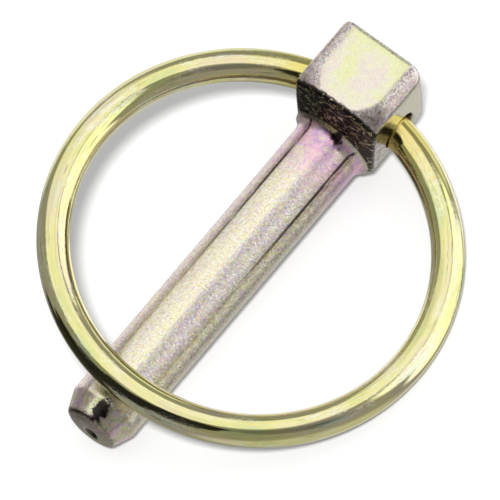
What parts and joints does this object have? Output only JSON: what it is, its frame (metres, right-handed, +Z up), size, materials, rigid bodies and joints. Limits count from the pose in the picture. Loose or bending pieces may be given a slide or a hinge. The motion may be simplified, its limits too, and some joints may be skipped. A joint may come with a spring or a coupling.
{
  "type": "lynch pin",
  "caption": "Forged steel pin with a square head, a tapered tip and a round wire ring that swings in the head and closes over the shank.",
  "frame": {"origin": "middle of the bounding box at the ground, with the pin lying as it comes to rest", "axes": "+X along the shank towards its tip, +Z up, +Y towards the side that the ring leans down to"},
  "size_m": [0.0612, 0.0524, 0.0192],
  "materials": {
    "zinc_matt": "yellow zinc plated, grainy and slightly iridescent",
    "zinc_bright": "yellow zinc plated, bright drawn wire"
  },
  "bodies": {
    "pin": {"pin": "zinc_matt"},
    "ring": {"ring": "zinc_bright"}
  },
  "joints": [
    {"name": "ring_swing", "type": "hinge", "parent": "pin", "child": "ring", "pos_m": [-0.02441, -0.00241, 0.00858], "axis": [0.0813, -0.9522, 0.2945], "range_deg": [0, 340]}
  ]
}
